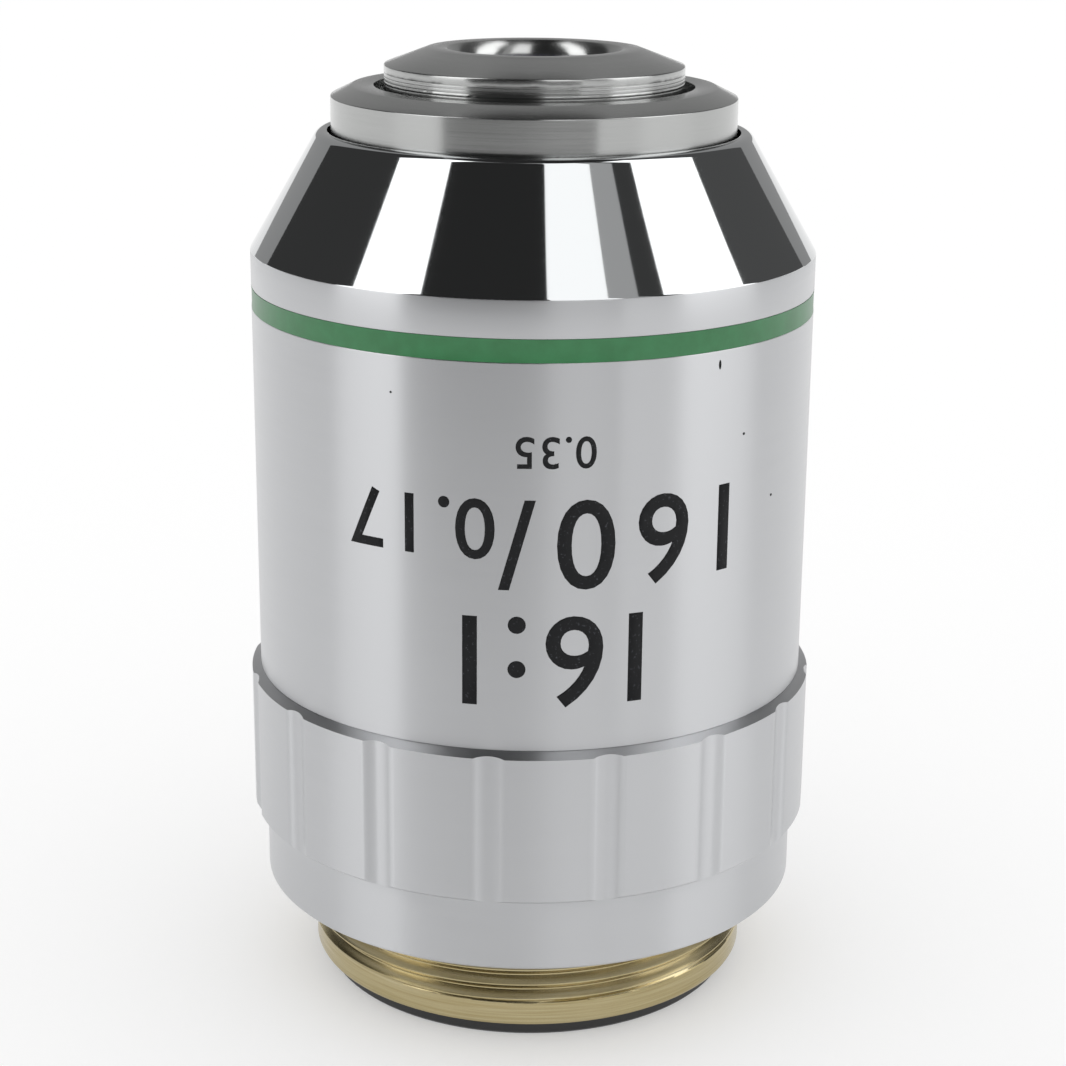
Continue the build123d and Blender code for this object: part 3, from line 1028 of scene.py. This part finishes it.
class OBJECTIVE_OT_stage(bpy.types.Operator):
    """Camera, pale floor, even light and the cards that the polished cone mirrors"""

    bl_idname = "objective.stage"
    bl_label = "Stage and camera"

    def execute(self, context):
        self.place_camera(context)
        self.lay_floor(context)
        self.light_sky(context)
        self.hang_cards(context)
        context.scene.view_settings.view_transform = "Standard"
        return {"FINISHED"}

    def place_camera(self, context):
        """Camera that was fitted to the rings of the object in the photograph."""
        sizes = context.scene.objective_camera
        bpy.ops.object.camera_add(location=(0, -sizes.distance * MM, sizes.height * MM))
        camera = bpy.context.object
        camera.name = "main_camera"
        turned = Matrix.Rotation(math.radians(-sizes.turn), 3, "Z")
        tilted = Matrix.Rotation(math.radians(90 - sizes.tilt), 3, "X")
        rolled = Matrix.Rotation(math.radians(sizes.roll), 3, "Z")
        camera.rotation_euler = (turned @ tilted @ rolled).to_euler()
        camera.data.lens = sizes.lens
        camera.data.sensor_width = SENSOR_WIDTH
        camera.data.clip_start = MM
        context.scene.camera = camera

    def lay_floor(self, context):
        """Round sheet of white paper, which glows a little so that shadows stay pale."""
        sizes = context.scene.objective_light
        deselect()
        bpy.ops.mesh.primitive_circle_add(
            vertices=128,
            radius=sizes.floor_radius * MM,
            fill_type="NGON",
            location=(0, 0, low("rear_ring") * MM),
        )
        floor = bpy.context.object
        floor.name = "floor"
        paper = new_material(
            "white_paper", Base_Color=linear("D6D6D6"), Roughness=0.9, Specular_IOR_Level=0.0,
            Emission_Color=linear("FFFFFF"), Emission_Strength=sizes.floor_glow
        )[0]
        floor.data.materials.append(paper)

    def light_sky(self, context):
        """Even white light from all sides."""
        world = bpy.data.worlds.new("even_light")
        world.use_nodes = True
        background = world.node_tree.nodes["Background"]
        background.inputs["Color"].default_value = linear("FFFFFF")
        background.inputs["Strength"].default_value = context.scene.objective_light.sky
        context.scene.world = world

    def hang_cards(self, context):
        """Hangs the cards of both lists, and the one overhead."""
        sizes = context.scene.objective_light
        distance = sizes.card_distance
        for name, first, last, foot, top, strength in CARDS:
            lower = sizes.middle + distance * math.tan(math.radians(foot))
            upper = sizes.middle + distance * math.tan(math.radians(top))
            self.card(name, first, last, lower, upper, strength, distance)
        for card in LOW_CARDS:
            self.card(*card, sizes.low_distance)
        self.ceiling(sizes)

    def card(self, name, first, last, lower, upper, strength, distance):
        """Upright card between two azimuths in degrees and two heights in millimetres."""
        middle = math.radians((first + last) / 2)
        width = 2 * distance * math.tan(math.radians((last - first) / 2))
        deselect()
        bpy.ops.mesh.primitive_plane_add(size=1.0)
        plane = bpy.context.object
        plane.name = name
        plane.scale = (width * MM, (upper - lower) * MM, 1)
        plane.rotation_euler = (math.radians(90), 0, middle)
        plane.location = (
            distance * math.sin(middle) * MM,
            -distance * math.cos(middle) * MM,
            (upper + lower) / 2 * MM,
        )
        self.shine(plane, strength)

    def ceiling(self, sizes):
        """Dark card overhead, which upward faces mirror."""
        deselect()
        bpy.ops.mesh.primitive_circle_add(
            vertices=48,
            radius=sizes.ceiling_radius * MM,
            fill_type="NGON",
            location=(0, 0, sizes.ceiling_height * MM),
        )
        plane = bpy.context.object
        plane.name = "black_card_overhead"
        self.shine(plane, sizes.ceiling_strength)

    def shine(self, plane, strength):
        """Even light of a card, seen by reflections only."""
        material = bpy.data.materials.new(plane.name)
        material.use_nodes = True
        tree = material.node_tree
        tree.nodes.clear()
        inputs = {"Color": linear("FFFFFF"), "Strength": strength}
        light = add_node(tree, "ShaderNodeEmission", inputs)
        add_node(tree, "ShaderNodeOutputMaterial", {"Surface": light.outputs["Emission"]})
        plane.data.materials.append(material)
        plane.visible_camera = False
        plane.visible_diffuse = False
        plane.visible_transmission = False
        plane.visible_shadow = False


# Cards round the object: name, two azimuths from the front towards +X, lower and upper angle in
# degrees, brightness
CARDS = [
    ("black_card_front", -53, 7, 4, 66, 0.03),
    ("softbox_left", -84, -53, 8, 66, 2.3),
    ("black_card_left", -134, -84, 8, 66, 0.05),
    ("grey_card_back_left", -180, -134, 3, 66, 0.35),
    ("softbox_front", 7, 36, 8, 66, 1.65),
    ("grey_card_front", 36, 50, 8, 66, 0.5),
    ("black_card_right_front", 50, 61.6, 8, 66, 0.06),
    ("softbox_right", 61.6, 99, 8, 66, 2.3),
    ("black_card_right", 99, 138, 8, 66, 0.1),
    ("grey_card_back_right", 138, 180, 3, 66, 0.35),
]

# Nearer cards below them, at the front: the same, but with heights in millimetres
LOW_CARDS = [
    ("black_card_low", -50, 0, 8, 70, 0.05),
    ("grey_card_low", 0, 34, 8, 70, 0.12),
]


class OBJECTIVE_PT_panel(bpy.types.Panel):
    """Lists the pieces and their sizes"""

    bl_idname = "OBJECTIVE_PT_panel"
    bl_label = "Microscope objective"
    bl_space_type = "VIEW_3D"
    bl_region_type = "UI"
    bl_category = "Objective"

    def draw(self, context):
        for name, (_, operators) in GROUPS.items():
            box = self.layout.box()
            sizes = getattr(context.scene, name)
            for size in sizes.__annotations__:
                box.prop(sizes, size)
            for operator in operators:
                box.operator(operator)


# Size groups as the scene holds them, each with its class and the operators that read it
GROUPS = {
    "objective_sleeve": (SleeveSizes, ["objective.sleeve", "objective.band"]),
    "objective_grip": (GripSizes, ["objective.grip"]),
    "objective_nose": (NoseSizes, ["objective.barrel", "objective.nose", "objective.spring"]),
    "objective_thread": (ThreadSizes, ["objective.thread", "objective.rear_ring"]),
    "objective_figures": (FigureSizes, ["objective.figures", "objective.inside"]),
    "objective_camera": (CameraSizes, []),
    "objective_light": (StageLight, ["objective.stage"]),
}

OPERATORS = [
    OBJECTIVE_OT_sleeve,
    OBJECTIVE_OT_band,
    OBJECTIVE_OT_grip,
    OBJECTIVE_OT_barrel,
    OBJECTIVE_OT_nose,
    OBJECTIVE_OT_thread,
    OBJECTIVE_OT_rear_ring,
    OBJECTIVE_OT_figures,
    OBJECTIVE_OT_spring,
    OBJECTIVE_OT_inside,
    OBJECTIVE_OT_stage,
]


def register():
    for name, (group, _) in GROUPS.items():
        bpy.utils.register_class(group)
        setattr(bpy.types.Scene, name, bpy.props.PointerProperty(type=group))
    for operator in OPERATORS:
        bpy.utils.register_class(operator)
    bpy.utils.register_class(OBJECTIVE_PT_panel)


def unregister():
    bpy.utils.unregister_class(OBJECTIVE_PT_panel)
    for operator in reversed(OPERATORS):
        bpy.utils.unregister_class(operator)
    for name, (group, _) in GROUPS.items():
        delattr(bpy.types.Scene, name)
        bpy.utils.unregister_class(group)


def main():
    """Builds every piece."""
    register()
    for operator in OPERATORS:
        group, name = operator.bl_idname.split(".")
        getattr(getattr(bpy.ops, group), name)()


if __name__ == "__main__":
    main()
